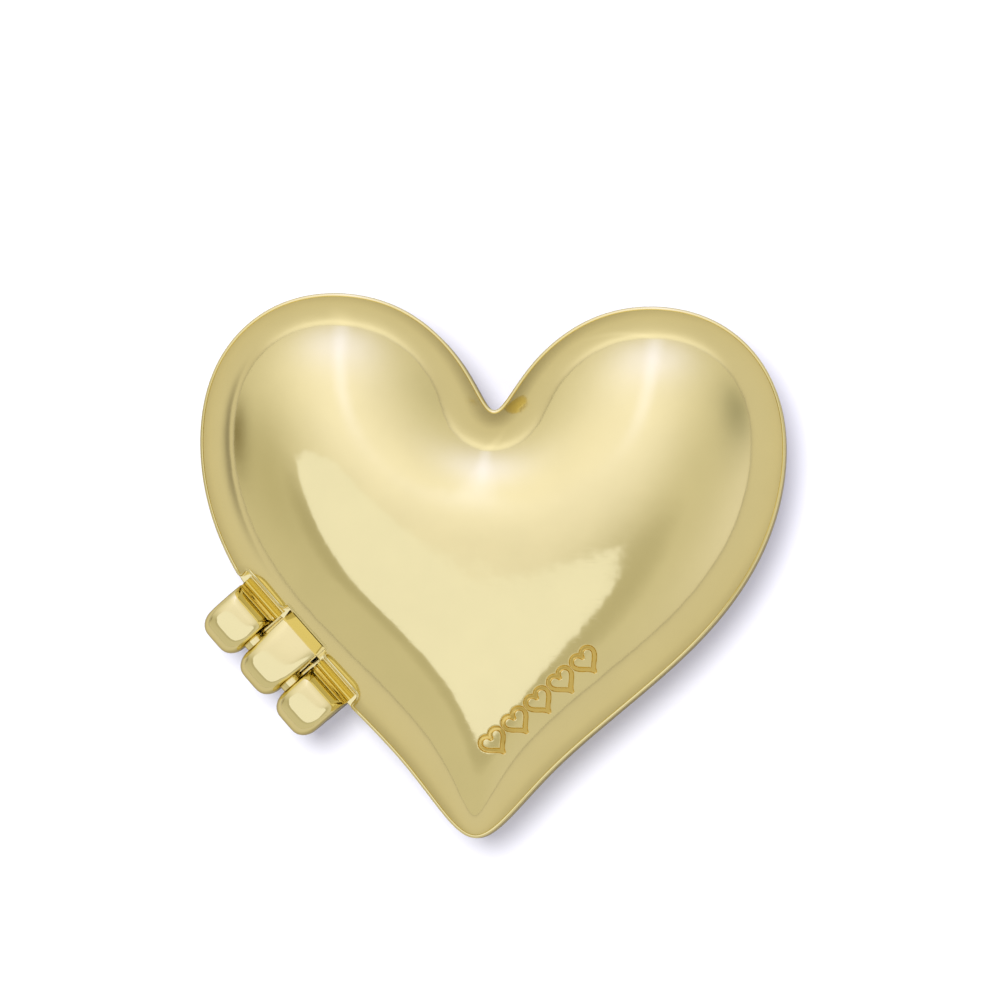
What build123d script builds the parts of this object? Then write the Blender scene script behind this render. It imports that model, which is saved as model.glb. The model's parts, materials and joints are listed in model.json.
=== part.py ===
"""Heart locket charm: a hinged, puffed heart case with a picture frame in each half and a snap stud on its back.

Millimetres. +Z points out of the domed cover, +Y to the notch of the heart. The origin lies on the axis of the
stud, at the top of its rubber neck, where the neck meets the collar against the back of the case.
"""

from build123d import *
import math
import os

import numpy as np

# --- overall sizes ---
HEART_WIDTH = 30.0
HEART_HEIGHT = 27.55
COVER_HEIGHT = 6.6  # parting plane to the top of the dome
BACK_DEPTH = 3.8  # parting plane to the flat seat of the stud

# --- the two shells ---
COVER_RIM = 0.8  # upright part of the cover's side
COVER_BEVEL = 1.5  # height of the steep rounded bevel above it
COVER_BEVEL_RUN = 0.8  # how fast the bevel dies out inwards
COVER_CROWN = 1.6  # higher is flatter on top
BACK_RIM = 1.7
BACK_BEVEL = 0.9
BACK_BEVEL_RUN = 0.5
BACK_CROWN = 1.8
DOME_WALL = 1.0
RIM_LAND = 2.6  # width of the flat land where the halves meet
PARTING_GAP = 0.06

# --- hinge ---
HINGE_BEARING = 204.3  # direction of the hinge from the middle of the heart, degrees from +X
HINGE_SPREAD = 12.0  # half the bearing over which the flank's chord is taken
KNUCKLE_SIZE = 2.7  # square section of a knuckle
KNUCKLE_ROUND = 1.0
KNUCKLE_LENGTH = 2.5
KNUCKLE_GAP = 0.3
KNUCKLE_OVERHANG = 0.12  # how far the knuckles stand inside the flank
PIN_DIAMETER = 1.2
PIN_RUNNING_FIT = 0.04  # radial
PIN_PRESS_FIT = 0.005  # radial
PIN_INSET = 0.1
NOTCH_DEPTH = 1.3  # how far the cover's hinge notch reaches in from the flank
NOTCH_CORNER = 0.6
NOTCH_END_GAP = 0.25
LEAF_TOP = 1.2
LEAF_TONGUE = 0.8  # tongue of the leaf inside the cover's rim
LEAF_TONGUE_THICKNESS = 0.6
LUG_DEPTH = 2.0  # how far a lug reaches down the back half
LUG_FLARE = 0.4
LUG_ROOT = 1.0
SOLDER_GAP = 0.02
SWING_CLEARANCE = 0.12

# --- picture frames ---
BEZEL_FIT = 0.03
BEZEL_SKIRT = 0.5
BEZEL_LIP = 1.5
BEZEL_THICKNESS = 0.4
FRAME_RECESS = 0.15  # frame below the land
WINDOW_THICKNESS = 0.4
CARD_THICKNESS = 0.25
PLATE_THICKNESS = 0.5
STACK_FIT = 0.02

# --- magnets ---
MAGNET_DIAMETER = 2.0
MAGNET_HEIGHT = 1.2
MAGNET_FIT = 0.02
MAGNET_BEARINGS = (60.0, -8.0)

# --- stud ---
POST_HEAD_DIAMETER = 6.0
POST_HEAD_HEIGHT = 0.7
POST_DIAMETER = 3.0
POST_BARB_DIAMETER = 4.2
POST_BARB_HEIGHT = 1.2
POST_TIP_COVER = 0.9  # rubber below the end of the post
STUD_SEAT_DIAMETER = 9.0
NECK_DIAMETER = 7.5
NECK_LENGTH = 3.5
COLLAR_DIAMETER = 8.6
COLLAR_HEIGHT = 0.5
BUTTON_DIAMETER = 11.5
BUTTON_HEIGHT = 2.6
BUTTON_ROUND = 0.9

# Control points of the right half of the heart, from the notch round to the tip. The outline is the closed uniform
# cubic B-spline on these points and their mirror images.
HALF_HEART = (
    (0.0, 6.1), (1.3, 9.5), (5.1, 13.0), (11.2, 13.1), (15.3, 8.9),
    (15.1, 1.7), (11.2, -4.6), (3.2, -11.0), (0.0, -16.5),
)
POINTS_PER_SPAN = 24
CONTOUR_POINTS = 64
# How far in each section of a dome lies, as a share of the greatest depth.
DOME_SECTIONS = (0.0, 0.02, 0.05, 0.09, 0.135, 0.19, 0.27, 0.38, 0.52, 0.67, 0.8, 0.91, 0.985)


def heart_outline():
    """Points on the outline, counter-clockwise, scaled to the heart's width and height."""
    right = np.array(HALF_HEART)
    left = right[1:-1][::-1] * np.array([-1.0, 1.0])
    control = np.concatenate([right, left])
    t = np.linspace(0.0, 1.0, POINTS_PER_SPAN, endpoint=False)
    basis = np.stack([(1 - t) ** 3, 3 * t**3 - 6 * t**2 + 4, -3 * t**3 + 3 * t**2 + 3 * t + 1, t**3], 1) / 6
    count = len(control)
    spans = [basis @ control[[(i + k) % count for k in (-1, 0, 1, 2)]] for i in range(count)]
    points = np.concatenate(spans)[::-1]
    scale = np.array([HEART_WIDTH, HEART_HEIGHT]) / np.ptp(points, axis=0)
    return points * scale


OUTLINE = heart_outline()


def depth_inside(x, y):
    """Smooth stand-in for the distance in from the outline; 0 outside it."""
    side = np.roll(OUTLINE, -1, axis=0) - OUTLINE
    length = np.hypot(side[:, 0], side[:, 1])
    along = side / length[:, None]
    px = np.asarray(x, float)[..., None] - OUTLINE[:, 0]
    py = np.asarray(y, float)[..., None] - OUTLINE[:, 1]
    near = px * along[:, 0] + py * along[:, 1]
    far = near - length
    apart2 = np.maximum((along[:, 0] * py - along[:, 1] * px) ** 2, 1e-12)
    pull = (near / np.sqrt(apart2 + near**2) - far / np.sqrt(apart2 + far**2)) / apart2
    next_x, next_y = np.roll(px, -1, axis=-1), np.roll(py, -1, axis=-1)
    turn = np.arctan2(px * next_y - py * next_x, px * next_x + py * next_y).sum(axis=-1)
    return np.where(np.abs(turn) > math.pi, np.sqrt(2.0 / pull.sum(axis=-1)), 0.0)


MIDLINE = np.linspace(OUTLINE[:, 1].min(), OUTLINE[:, 1].max(), 400)
MIDLINE_DEPTH = depth_inside(np.zeros(400), MIDLINE)
DEEPEST = MIDLINE_DEPTH.max()
MIDDLE_Y = MIDLINE[MIDLINE_DEPTH.argmax()]


def reach(bearing, depth):
    """Distances from the deepest point to the contour at a depth, in directions given in radians."""
    low = np.zeros(len(bearing))
    high = np.full(len(bearing), math.hypot(HEART_WIDTH, HEART_HEIGHT))
    for _ in range(45):
        middle = (low + high) / 2
        deeper = depth_inside(middle * np.cos(bearing), MIDDLE_Y + middle * np.sin(bearing)) > depth
        low = np.where(deeper, middle, low)
        high = np.where(deeper, high, middle)
    return low


def contour(depth, height):
    """Closed curve at a set depth inside the outline and a set height."""
    bearing = np.linspace(0.0, 2 * math.pi, CONTOUR_POINTS, endpoint=False) + math.pi / 2
    radius = reach(bearing, depth)
    points = [(r * math.cos(b), MIDDLE_Y + r * math.sin(b), height) for r, b in zip(radius, bearing)]
    return Wire([Edge.make_spline(points, periodic=True)])


def rim_point(bearing, depth):
    """Plan position in a direction from the deepest point, at a set depth inside the outline."""
    radius = reach(np.array([math.radians(bearing)]), depth)[0]
    return Vector(0, MIDDLE_Y, 0) + Vector(radius, 0, 0).rotate(Axis.Z, bearing)


def heart_prism(depth, bottom, top):
    """Heart-shaped block between two heights."""
    return extrude(make_face(contour(depth, bottom)), amount=top - bottom, dir=(0, 0, 1))


def dome_height(depth, total, rim, bevel, run, power):
    """Height of a dome over the parting plane: upright rim, rounded bevel, then a gentle crown."""
    crown = (total - rim - bevel) * (1 - (1 - depth / DEEPEST) ** power)
    return rim + bevel * (1 - math.exp(-depth / run)) + crown


def domed_block(side, edge, start, sink, *shape):
    """Block from a height to a dome that is sunk by a wall; side is 1 for the cover and -1 for the back."""
    depths = [edge] + [share * DEEPEST for share in DOME_SECTIONS if share * DEEPEST > edge + 0.05]
    heights = [dome_height(depth, *shape) - sink for depth in depths]
    sections = [contour(depth, side * height) for depth, height in zip(depths, heights)]
    dome = Solid.make_loft(sections)
    foot = heart_prism(edge, min(start, side * heights[0]), max(start, side * heights[0]))
    return foot + dome


def cover_block(edge, start, sink):
    """Block under the cover's dome."""
    shape = COVER_HEIGHT, COVER_RIM, COVER_BEVEL, COVER_BEVEL_RUN, COVER_CROWN
    return domed_block(1, edge, start, sink, *shape)


def back_block(edge, start, sink):
    """Block inside the back's dome."""
    shape = BACK_DEPTH, BACK_RIM, BACK_BEVEL, BACK_BEVEL_RUN, BACK_CROWN
    return domed_block(-1, edge, start, sink, *shape)


# --- hinge frame: X along the pin, Y out of the flank, Z up, on the parting plane ---
FLANK_START = rim_point(HINGE_BEARING - HINGE_SPREAD, 0)
FLANK_END = rim_point(HINGE_BEARING + HINGE_SPREAD, 0)
FLANK_MIDDLE = rim_point(HINGE_BEARING, 0)
PIN_DIRECTION = (FLANK_START - FLANK_END).normalized()
OUT_DIRECTION = Vector(0, 0, 1).cross(PIN_DIRECTION)
PIN_OFFSET = KNUCKLE_SIZE / 2 - KNUCKLE_OVERHANG
PIN_CENTRE = FLANK_MIDDLE + OUT_DIRECTION * PIN_OFFSET
HINGE = Plane(origin=PIN_CENTRE, x_dir=PIN_DIRECTION, z_dir=(0, 0, 1))
HINGE_HALF = 1.5 * KNUCKLE_LENGTH + KNUCKLE_GAP
SWING_RADIUS = (KNUCKLE_SIZE / 2 - KNUCKLE_ROUND) * math.sqrt(2) + KNUCKLE_ROUND + SWING_CLEARANCE


def hinge_box(x, y, z):
    """Box between pairs of limits in the hinge frame."""
    centre = Location(((x[0] + x[1]) / 2, (y[0] + y[1]) / 2, (z[0] + z[1]) / 2))
    return HINGE * centre * Box(x[1] - x[0], y[1] - y[0], z[1] - z[0])


def hinge_rod(x, radius):
    """Cylinder on the pin's axis between two limits."""
    return HINGE * Pos((x[0] + x[1]) / 2, 0, 0) * Rot(0, 90, 0) * Cylinder(radius, x[1] - x[0])


def knuckle(x):
    """Rounded square knuckle between two limits along the pin."""
    section = RectangleRounded(KNUCKLE_SIZE, KNUCKLE_SIZE, KNUCKLE_ROUND)
    block = extrude(section, (x[1] - x[0]) / 2, both=True)
    return HINGE * Pos((x[0] + x[1]) / 2, 0, 0) * Rot(0, 90, 0) * block


def knuckle_limits(index):
    """Limits of knuckle -1, 0 or 1 along the pin."""
    middle = index * (KNUCKLE_LENGTH + KNUCKLE_GAP)
    return middle - KNUCKLE_LENGTH / 2, middle + KNUCKLE_LENGTH / 2


def hinge_notch():
    """Notch through the cover's rim that the knuckles stand in."""
    end = HINGE_HALF + NOTCH_END_GAP
    inner = -PIN_OFFSET - NOTCH_DEPTH
    block = hinge_box((-end, end), (inner, KNUCKLE_SIZE), (-1, COVER_HEIGHT))
    inner_edges = block.edges().filter_by(Axis.Z).sort_by(lambda edge: edge.center().dot(OUT_DIRECTION))[:2]
    return fillet(inner_edges, NOTCH_CORNER)


def cover_hinge_leaf():
    """Middle knuckle with the flat plate and tongue that hold it in the cover."""
    x = knuckle_limits(0)
    wall = -PIN_OFFSET - NOTCH_DEPTH + SOLDER_GAP
    plate = hinge_box(x, (wall, 0), (PARTING_GAP + SOLDER_GAP, LEAF_TOP))
    tongue_bottom = (PARTING_GAP + LEAF_TOP - LEAF_TONGUE_THICKNESS) / 2
    tongue = hinge_box(x, (wall - LEAF_TONGUE, wall), (tongue_bottom, tongue_bottom + LEAF_TONGUE_THICKNESS))
    bore = hinge_rod((x[0] - 1, x[1] + 1), PIN_DIAMETER / 2 + PIN_RUNNING_FIT)
    return knuckle(x) + plate + tongue - bore


def tongue_slot():
    """Slot in the cover's rim for the leaf's tongue."""
    x = knuckle_limits(0)
    wall = -PIN_OFFSET - NOTCH_DEPTH
    bottom = (PARTING_GAP + LEAF_TOP - LEAF_TONGUE_THICKNESS) / 2 - SOLDER_GAP
    top = bottom + LEAF_TONGUE_THICKNESS + 2 * SOLDER_GAP
    return hinge_box((x[0] - SOLDER_GAP, x[1] + SOLDER_GAP), (wall - LEAF_TONGUE - SOLDER_GAP, wall + 1), (bottom, top))


def lug_root(side, grow):
    """Root of an outer knuckle inside the back's rim, grown by a fit on every side."""
    x = knuckle_limits(side)
    inner = -PIN_OFFSET - LUG_ROOT
    top = -PARTING_GAP + grow
    outer = min(side * x[0], side * x[1]), max(side * x[0], side * x[1]) + LUG_FLARE
    limits = sorted((side * (outer[0] - grow), side * (outer[1] + grow)))
    return hinge_box(limits, (inner - grow, 0), (-LUG_DEPTH - grow, top))


def back_knuckle(side):
    """Outer knuckle with the flared lug that holds it on the back half."""
    x = knuckle_limits(side)
    near = min(side * x[0], side * x[1])
    far = max(side * x[0], side * x[1])
    inner = -PIN_OFFSET - LUG_ROOT
    face = KNUCKLE_SIZE / 2
    plan = Polyline(
        (side * near, inner), (side * near, face - KNUCKLE_ROUND), (side * far, face - KNUCKLE_ROUND),
        (side * (far + LUG_FLARE), -PIN_OFFSET), (side * (far + LUG_FLARE), inner), close=True,
    )
    web = extrude(Pos(0, 0, -LUG_DEPTH) * make_face(plan), LUG_DEPTH - PARTING_GAP)
    bore = hinge_rod((x[0] - 1, x[1] + 1), PIN_DIAMETER / 2 + PIN_PRESS_FIT)
    return knuckle(x) + HINGE * web - bore


def hinge_pin():
    """Straight pin, pressed into the outer knuckles and running in the middle one."""
    end = HINGE_HALF - PIN_INSET
    return hinge_rod((-end, end), PIN_DIAMETER / 2)


def magnet_places():
    """Plan positions of the magnets, midway across the rim's land."""
    return [rim_point(bearing, RIM_LAND / 2) for bearing in MAGNET_BEARINGS]


def magnets(side, grow):
    """Disc magnets in the land of one half, or their pockets when grown by a fit."""
    face = side * PARTING_GAP if side > 0 else 0.0
    near = face + side * (MAGNET_FIT - grow * 2)
    far = face + side * (MAGNET_FIT + MAGNET_HEIGHT + grow)
    disc = Cylinder(MAGNET_DIAMETER / 2 + grow, abs(far - near))
    return [Pos(place.X, place.Y, (near + far) / 2) * disc for place in magnet_places()]


def frame_levels(side):
    """Heights of the frame's face, window, card and plate, and of the back of the stack."""
    land = PARTING_GAP if side > 0 else 0.0
    steps = (FRAME_RECESS, BEZEL_THICKNESS, WINDOW_THICKNESS, CARD_THICKNESS, PLATE_THICKNESS)
    return [side * (land + sum(steps[: i + 1])) for i in range(len(steps))]


def slab(depth, start, end):
    """Heart-shaped slab between two heights in either order."""
    return heart_prism(depth, min(start, end), max(start, end))


def bezel(side):
    """Heart-shaped frame: a lip over the window and a skirt round the stack behind it."""
    face, window, card, plate, end = frame_levels(side)
    outer = RIM_LAND + BEZEL_FIT
    inner = outer + BEZEL_SKIRT
    lip_hole = slab(outer + BEZEL_LIP, face - side, window + side)
    pocket = slab(inner, window, end + side)
    return slab(outer, face, end) - lip_hole - pocket


def stack_sheet(start, end):
    """One flat heart of the stack behind the frame's lip."""
    return slab(RIM_LAND + BEZEL_FIT + BEZEL_SKIRT + STACK_FIT, start, end)


def cover_shell():
    """Domed front half with its cavity, hinge notch, tongue slot and magnet pockets."""
    shell = cover_block(0, PARTING_GAP, 0) - cover_block(RIM_LAND, PARTING_GAP - 1, DOME_WALL)
    shell -= hinge_notch()
    shell -= tongue_slot()
    for pocket in magnets(1, MAGNET_FIT):
        shell -= pocket
    return shell


def post_hole(grow):
    """Hole through the back half for the stud's post."""
    return Pos(0, 0, -BACK_DEPTH) * Cylinder(POST_DIAMETER / 2 + grow, 4 * DOME_WALL)


def back_shell():
    """Back half with its cavity, lug seats, post hole, flat stud seat and magnet pockets."""
    seat = -BACK_DEPTH + DOME_WALL
    shell = back_block(0, 0, 0) - back_block(RIM_LAND, 1, DOME_WALL)
    shell += Pos(0, 0, -BACK_DEPTH + DOME_WALL / 2) * Cylinder(STUD_SEAT_DIAMETER / 2, DOME_WALL)
    shell -= Pos(0, 0, seat + 1) * Cylinder(POST_HEAD_DIAMETER / 2 + 2 * SOLDER_GAP, 2)
    shell -= post_hole(SOLDER_GAP)
    shell -= lug_root(1, SOLDER_GAP)
    shell -= lug_root(-1, SOLDER_GAP)
    shell -= hinge_rod((knuckle_limits(0)[0] - KNUCKLE_GAP, knuckle_limits(0)[1] + KNUCKLE_GAP), SWING_RADIUS)
    for pocket in magnets(-1, MAGNET_FIT):
        shell -= pocket
    return shell


def stud_post():
    """Rivet: flat head inside the case, shank through the back, barbed end for the rubber."""
    seat = -BACK_DEPTH + DOME_WALL + SOLDER_GAP
    end = -BACK_DEPTH - NECK_LENGTH - BUTTON_HEIGHT + POST_TIP_COVER
    head = Pos(0, 0, seat + POST_HEAD_HEIGHT / 2) * Cylinder(POST_HEAD_DIAMETER / 2, POST_HEAD_HEIGHT)
    shank = Pos(0, 0, (seat + end) / 2) * Cylinder(POST_DIAMETER / 2, seat - end)
    barb = Pos(0, 0, end + POST_BARB_HEIGHT / 2) * Cone(POST_DIAMETER / 2, POST_BARB_DIAMETER / 2, POST_BARB_HEIGHT)
    return head + shank + barb


def stud_button():
    """Rubber collar, neck and rounded button, with a socket that grips the post's barb."""
    top = -BACK_DEPTH - SOLDER_GAP
    neck_end = -BACK_DEPTH - NECK_LENGTH
    bottom = neck_end - BUTTON_HEIGHT
    collar = Pos(0, 0, top - COLLAR_HEIGHT / 2) * Cylinder(COLLAR_DIAMETER / 2, COLLAR_HEIGHT)
    neck = Pos(0, 0, (top + neck_end) / 2) * Cylinder(NECK_DIAMETER / 2, top - neck_end)
    button = Pos(0, 0, (neck_end + bottom) / 2) * Cylinder(BUTTON_DIAMETER / 2, BUTTON_HEIGHT)
    button = fillet(button.edges().filter_by(GeomType.CIRCLE), BUTTON_ROUND)
    end = bottom + POST_TIP_COVER - SOLDER_GAP
    grip = POST_DIAMETER / 2 + SOLDER_GAP
    shank_hole = Pos(0, 0, (top + end) / 2) * Cylinder(grip, top - end + 0.001)
    barb_hole = Pos(0, 0, end + POST_BARB_HEIGHT / 2) * Cone(
        grip, POST_BARB_DIAMETER / 2 + 2 * SOLDER_GAP, POST_BARB_HEIGHT + 2 * SOLDER_GAP
    )
    return collar + neck + button - shank_hole - barb_hole


def picture_parts(name, side):
    """Frame, window, card and plate of one half."""
    face, window, card, plate, end = frame_levels(side)
    return {
        f"{name}_bezel": bezel(side),
        f"{name}_window": stack_sheet(window, card),
        f"{name}_picture_card": stack_sheet(card, plate),
        f"{name}_backing_plate": stack_sheet(plate, end),
    }


def locket():
    """Every node by name, round the parting plane."""
    nodes = {
        "back_shell": back_shell(),
        "back_knuckle_upper": back_knuckle(1),
        "back_knuckle_lower": back_knuckle(-1),
        "hinge_pin": hinge_pin(),
        "back_magnets": Compound(children=magnets(-1, 0)),
        "stud_post": stud_post(),
        "stud_button": stud_button(),
        "cover_shell": cover_shell(),
        "cover_hinge_leaf": cover_hinge_leaf(),
        "cover_magnets": Compound(children=magnets(1, 0)),
    }
    nodes.update(picture_parts("back", -1))
    nodes.update(picture_parts("cover", 1))
    return nodes


PARTING_HEIGHT = BACK_DEPTH + COLLAR_HEIGHT  # of the parting plane over the origin
os.makedirs("parts", exist_ok=True)
for node, shape in locket().items():
    export_step(Pos(0, 0, PARTING_HEIGHT) * shape, f"parts/{node}.step")
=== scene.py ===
import json
import math

import bpy
import numpy as np
from mathutils import Matrix, Vector
from mathutils.geometry import delaunay_2d_cdt
from mathutils.kdtree import KDTree


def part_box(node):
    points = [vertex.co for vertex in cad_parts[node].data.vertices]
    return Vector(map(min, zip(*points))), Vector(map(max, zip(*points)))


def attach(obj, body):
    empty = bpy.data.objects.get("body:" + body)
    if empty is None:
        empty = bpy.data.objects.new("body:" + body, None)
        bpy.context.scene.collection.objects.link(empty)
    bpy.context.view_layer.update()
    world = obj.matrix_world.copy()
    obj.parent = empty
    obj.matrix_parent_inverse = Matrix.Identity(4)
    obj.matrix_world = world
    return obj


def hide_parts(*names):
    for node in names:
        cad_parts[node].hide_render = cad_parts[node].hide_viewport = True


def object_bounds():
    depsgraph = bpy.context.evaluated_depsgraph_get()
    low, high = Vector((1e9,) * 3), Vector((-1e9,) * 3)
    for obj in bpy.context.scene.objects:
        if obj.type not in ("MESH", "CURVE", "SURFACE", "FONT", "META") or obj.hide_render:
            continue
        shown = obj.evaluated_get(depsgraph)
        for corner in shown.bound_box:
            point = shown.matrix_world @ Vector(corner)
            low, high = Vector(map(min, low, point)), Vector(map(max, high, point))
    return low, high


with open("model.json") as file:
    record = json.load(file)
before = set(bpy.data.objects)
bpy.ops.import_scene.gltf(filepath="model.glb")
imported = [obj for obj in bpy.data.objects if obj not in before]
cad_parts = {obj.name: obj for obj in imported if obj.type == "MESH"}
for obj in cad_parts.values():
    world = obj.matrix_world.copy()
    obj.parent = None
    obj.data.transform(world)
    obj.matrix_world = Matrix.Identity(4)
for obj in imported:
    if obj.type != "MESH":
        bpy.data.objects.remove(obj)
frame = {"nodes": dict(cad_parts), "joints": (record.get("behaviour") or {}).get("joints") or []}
cad_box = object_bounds()
nodes = frame["nodes"]
bpy.context.scene.view_settings.view_transform = "Standard"
MM = 0.001

# --- Cover: the domed front half ---
# Die-cast zinc, polished all over and plated in pale gold. A flat land runs round its mouth, and its flank is
# notched for the hinge. The surface is worked out by a formula, because a mirror shows every flat and lump.

# Right half of the heart, from the notch round to the tip: control points of a uniform cubic B-spline.
HALF_HEART = (
    (0.0, 6.1), (1.3, 9.5), (5.1, 13.0), (11.2, 13.1), (15.3, 8.9),
    (15.1, 1.7), (11.2, -4.6), (3.2, -11.0), (0.0, -16.5),
)


def heart_outline(per_span):
    """Points on the outline in millimetres, counter-clockwise, as wide and high as the CAD shell."""
    right = np.array(HALF_HEART)
    control = np.concatenate([right, right[1:-1][::-1] * np.array([-1.0, 1.0])])
    t = np.linspace(0.0, 1.0, per_span, endpoint=False)
    basis = np.stack([(1 - t) ** 3, 3 * t**3 - 6 * t**2 + 4, -3 * t**3 + 3 * t**2 + 3 * t + 1, t**3], 1) / 6
    count = len(control)
    spans = [[(i + k) % count for k in (-1, 0, 1, 2)] for i in range(count)]
    points = np.concatenate([basis @ control[span] for span in spans])
    low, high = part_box("back_shell")
    size = np.array([high.x - low.x, high.y - low.y]) / MM
    return points[::-1] * size / np.ptp(points, axis=0)


def loop_normals(loop):
    """Outward normals of a counter-clockwise loop."""
    tangent = np.roll(loop, -1, axis=0) - np.roll(loop, 1, axis=0)
    tangent /= np.hypot(tangent[:, 0], tangent[:, 1])[:, None]
    return np.stack([tangent[:, 1], -tangent[:, 0]], 1)


OUTLINE = heart_outline(24)
OUTLINE_NORMALS = loop_normals(OUTLINE)


def turns_round(points, loop):
    """True for the points that lie inside a closed loop."""
    a = loop[None, :, :] - points[:, None, :]
    b = np.roll(a, -1, axis=1)
    crosses = (a[..., 1] > 0) != (b[..., 1] > 0)
    slope = a[..., 0] * b[..., 1] - b[..., 0] * a[..., 1]
    return (crosses & ((slope > 0) == (b[..., 1] > a[..., 1]))).sum(axis=1) % 2 == 1


def depth_inside(points):
    """Smooth stand-in for the distance in from the outline; 0 outside it."""
    points = np.asarray(points, float)
    if len(points) > 1000:
        return np.concatenate([depth_inside(points[i:i + 1000]) for i in range(0, len(points), 1000)])
    side = np.roll(OUTLINE, -1, axis=0) - OUTLINE
    length = np.hypot(side[:, 0], side[:, 1])
    along = side / length[:, None]
    across, ahead = (points[:, k, None] - OUTLINE[None, :, k] for k in (0, 1))
    near = across * along[:, 0] + ahead * along[:, 1]
    far = near - length
    apart2 = np.maximum((along[:, 0] * ahead - along[:, 1] * across) ** 2, 1e-12)
    corner2 = apart2 + near**2
    pull = (near / np.sqrt(corner2) - far / np.sqrt(apart2 + far**2)) / apart2
    closest = corner2.argmin(axis=1)
    inside = ((points - OUTLINE[closest]) * OUTLINE_NORMALS[closest]).sum(axis=1) < 0
    return np.where(inside, np.sqrt(2.0 / pull.sum(axis=1)), 0.0)


def distance_to(points, loop, reach):
    """Distance from each point to a closed loop, or reach where it is further than that."""
    tree = KDTree(len(loop))
    for i, (x, y) in enumerate(loop):
        tree.insert((x, y, 0), i)
    tree.balance()
    side = np.roll(loop, -1, axis=0) - loop
    margin = np.hypot(side[:, 0], side[:, 1]).max()
    rough = np.array([tree.find((x, y, 0))[2] for x, y in points])
    close = np.flatnonzero(rough < reach + margin)
    result = np.full(len(points), float(reach))
    for batch in np.array_split(close, len(close) // 1000 + 1):
        offset = points[batch][:, None, :] - loop[None]
        share = np.clip((offset * side).sum(axis=2) / (side**2).sum(axis=1), 0.0, 1.0)
        found = np.sqrt(((offset - share[..., None] * side) ** 2).sum(axis=2)).min(axis=1)
        result[batch] = np.minimum(found, reach)
    return result


midline = np.stack([np.zeros(400), np.linspace(OUTLINE[:, 1].min(), OUTLINE[:, 1].max(), 400)], 1)
midline_depth = depth_inside(midline)
DEEPEST = midline_depth.max()
MIDDLE = midline[midline_depth.argmax()]


def contour(depth, count):
    """Closed loop at a set depth inside the outline."""
    bearing = np.linspace(0.0, 2 * math.pi, count, endpoint=False)
    ray = np.stack([np.cos(bearing), np.sin(bearing)], 1)
    radii = np.linspace(0.0, 20.0, 41)
    table = depth_inside((MIDDLE + ray[:, None] * radii[:, None]).reshape(-1, 2)).reshape(count, -1)
    last = (table > depth).argmin(axis=1)
    low, high = radii[last - 1], radii[last]
    for _ in range(9):
        middle = (low + high) / 2
        deeper = depth_inside(MIDDLE + ray * middle[:, None]) > depth
        low, high = np.where(deeper, middle, low), np.where(deeper, high, middle)
    return MIDDLE + ray * low[:, None]


JOINT = frame["joints"][0]
PIN_CENTRE = np.array(JOINT["pos_m"]) / MM
PARTING = PIN_CENTRE[2]
PIN_ALONG = -np.array(JOINT["axis"][:2])
PIN_OUT = np.array([-PIN_ALONG[1], PIN_ALONG[0]])
if PIN_OUT @ PIN_CENTRE[:2] < 0:
    PIN_OUT = -PIN_OUT


def arc(centre, radius, start, end, count):
    """Points on an arc, angles in degrees."""
    angle = np.radians(np.linspace(start, end, count))
    return [(centre[0] + radius * math.cos(a), centre[1] + radius * math.sin(a)) for a in angle]


def fill(loops, inner):
    """Triangles over the area inside the first loop and outside the others, through extra inner points."""
    flat = np.concatenate(list(loops) + ([inner] if len(inner) else []))
    edges, start = [], 0
    for loop in loops:
        edges += [(start + i, start + (i + 1) % len(loop)) for i in range(len(loop))]
        start += len(loop)
    verts, _, faces, source, _, _ = delaunay_2d_cdt([Vector(p) for p in flat], edges, [], 0, 1e-9)
    index = [origin[0] for origin in source]
    faces = np.array([[index[v] for v in face] for face in faces])
    centres = flat[faces].mean(axis=1)
    keep = turns_round(centres, loops[0])
    for hole in loops[1:]:
        keep &= ~turns_round(centres, hole)
    faces = faces[keep]
    a, b, c = flat[faces[:, 0]], flat[faces[:, 1]], flat[faces[:, 2]]
    area = (b[:, 0] - a[:, 0]) * (c[:, 1] - a[:, 1]) - (b[:, 1] - a[:, 1]) * (c[:, 0] - a[:, 0])
    faces[area < 0] = faces[area < 0][:, ::-1]
    return flat, faces


def smoothed_loop(points, spacing):
    """A closed loop resampled at an even spacing."""
    points = np.asarray(points)
    closed = np.vstack([points, points[:1]])
    run = np.concatenate([[0], np.cumsum(np.hypot(*np.diff(closed, axis=0).T))])
    places = np.linspace(0, run[-1], max(8, round(run[-1] / spacing)), endpoint=False)
    return np.stack([np.interp(places, run, closed[:, k]) for k in (0, 1)], 1)


def notched_outline(half_length, inner, corner, lip, step=None):
    """The outline with a notch cut in its flank round the hinge.

    step is a corner of the deeper middle stretch, which takes the hinge plate.
    """
    local = (OUTLINE - PIN_CENTRE[:2]) @ np.stack([PIN_ALONG, PIN_OUT], 1)
    cut = (np.abs(local[:, 0]) < half_length + lip) & (local[:, 1] > inner - 1)
    first = np.flatnonzero(cut & ~np.roll(cut, 1))[0]
    order = np.roll(np.arange(len(OUTLINE)), -first)
    kept = local[order][~cut[order]]
    side = 1.0 if local[order][0, 0] > 0 else -1.0
    ends = []
    for s in (side, -side):
        near = local[(s * local[:, 0] > half_length - 1) & (local[:, 1] > inner - 1)]
        near = near[np.argsort(s * near[:, 0])]
        flank = np.interp(half_length + lip, s * near[:, 0], near[:, 1])
        outer = arc((half_length + lip, flank - lip), lip, 90, 180, 7)
        inside = arc((half_length - corner, inner + corner), corner, 0, -90, 9)
        if step:
            inside += arc((step[0] + 0.3, inner - 0.3), 0.3, 90, 180, 6) + [step]
        ends.append([(s * x, y) for x, y in outer + inside])
    plan = np.concatenate([ends[0] + ends[1][::-1], kept])
    return PIN_CENTRE[:2] + plan @ np.stack([PIN_ALONG, PIN_OUT])


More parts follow.
